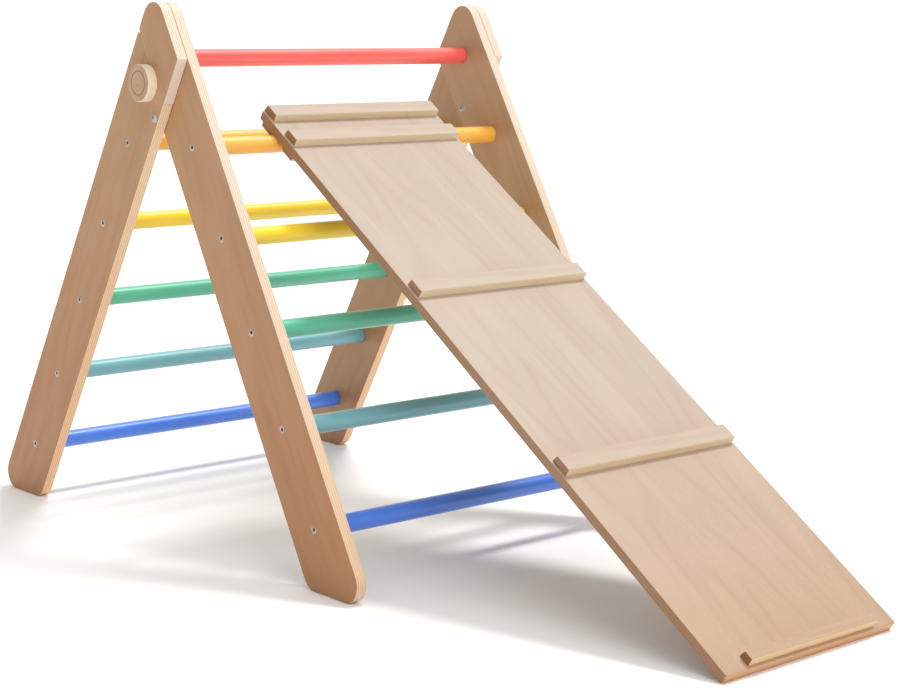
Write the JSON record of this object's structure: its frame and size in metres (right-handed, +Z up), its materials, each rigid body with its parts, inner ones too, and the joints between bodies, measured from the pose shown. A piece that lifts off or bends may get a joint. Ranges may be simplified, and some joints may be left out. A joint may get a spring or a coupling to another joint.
{
  "type": "toddler slide",
  "caption": "Folding climbing triangle of birch plywood with painted rungs, and a plywood slide board that hooks over a rung and rests on the floor.",
  "frame": {"origin": "on the floor, at the middle of the whole object's plan", "axes": "+X the way the slide runs down, +Y to the left of a child at the top of the slide, +Z up"},
  "size_m": [1.5042, 0.6938, 0.835],
  "materials": {
    "birch_plywood": "clear matt lacquer over sanded birch veneer",
    "birch_slat": "clear matt lacquer over planed birch",
    "beech": "clear matt lacquer over turned beech",
    "paint_red": "satin child-safe paint over turned beech",
    "paint_orange": "satin child-safe paint over turned beech",
    "paint_yellow": "satin child-safe paint over turned beech",
    "paint_green": "satin child-safe paint over turned beech",
    "paint_teal": "satin child-safe paint over turned beech",
    "paint_blue": "satin child-safe paint over turned beech",
    "zinc_steel": "bright zinc plate",
    "brass_insert": "plain turned brass"
  },
  "bodies": {
    "front_frame": {"right_front_leg": "birch_plywood", "left_front_leg": "birch_plywood", "right_head_block": "birch_plywood", "left_head_block": "birch_plywood", "red_top_rung": "paint_red", "orange_front_rung": "paint_orange", "yellow_front_rung": "paint_yellow", "green_front_rung": "paint_green", "teal_front_rung": "paint_teal", "blue_front_rung": "paint_blue", "front_rung_screws": "zinc_steel", "right_hinge_sleeve": "zinc_steel", "right_hinge_bolt": "zinc_steel", "right_pivot_washer": "zinc_steel", "right_clamp_stud": "zinc_steel", "right_leg_insert": "brass_insert", "left_hinge_sleeve": "zinc_steel", "left_hinge_bolt": "zinc_steel", "left_pivot_washer": "zinc_steel", "left_clamp_stud": "zinc_steel", "left_leg_insert": "brass_insert"},
    "rear_frame": {"right_rear_leg": "birch_plywood", "left_rear_leg": "birch_plywood", "orange_rear_rung": "paint_orange", "yellow_rear_rung": "paint_yellow", "green_rear_rung": "paint_green", "teal_rear_rung": "paint_teal", "blue_rear_rung": "paint_blue", "rear_rung_screws": "zinc_steel"},
    "slide_board": {"slide_panel": "birch_plywood", "climbing_slat_1": "birch_slat", "climbing_slat_2": "birch_slat", "climbing_slat_3": "birch_slat", "climbing_slat_4": "birch_slat", "foot_slat": "birch_slat", "upper_hook_batten": "birch_slat", "lower_hook_batten": "birch_slat", "slat_dowels": "beech"},
    "right_clamp_washer": {"right_knob_washer": "zinc_steel"},
    "right_clamp_knob": {"right_knob": "beech", "right_knob_insert": "brass_insert"},
    "left_clamp_washer": {"left_knob_washer": "zinc_steel"},
    "left_clamp_knob": {"left_knob": "beech", "left_knob_insert": "brass_insert"}
  },
  "joints": [
    {"name": "frame_fold", "type": "hinge", "parent": "front_frame", "child": "rear_frame", "pos_m": [-0.27069, 0, 0.65861], "axis": [0, -1, 0], "range_deg": [0, 60]},
    {"name": "board_tilt", "type": "hinge", "parent": "front_frame", "child": "slide_board", "pos_m": [-0.1967, 0, 0.61646], "axis": [0, -1, 0], "range_deg": [0, 45]},
    {"name": "right_knob_travel", "type": "slide", "parent": "front_frame", "child": "right_clamp_washer", "axis": [0, -1, 0], "range_m": [0, 0.00251]},
    {"name": "right_knob_turn", "type": "hinge", "parent": "right_clamp_washer", "child": "right_clamp_knob", "pos_m": [-0.29133, 0, 0.71136], "axis": [0, -1, 0], "range_deg": [0, 720]},
    {"name": "left_knob_travel", "type": "slide", "parent": "front_frame", "child": "left_clamp_washer", "axis": [0, 1, 0], "range_m": [0, 0.00251]},
    {"name": "left_knob_turn", "type": "hinge", "parent": "left_clamp_washer", "child": "left_clamp_knob", "pos_m": [-0.29133, 0, 0.71136], "axis": [0, 1, 0], "range_deg": [0, 720]}
  ],
  "couplings": [
    {"joint": "right_knob_travel", "follows": "right_knob_turn", "m_per_rad": 0.00019894},
    {"joint": "left_knob_travel", "follows": "left_knob_turn", "m_per_rad": 0.00019894}
  ]
}
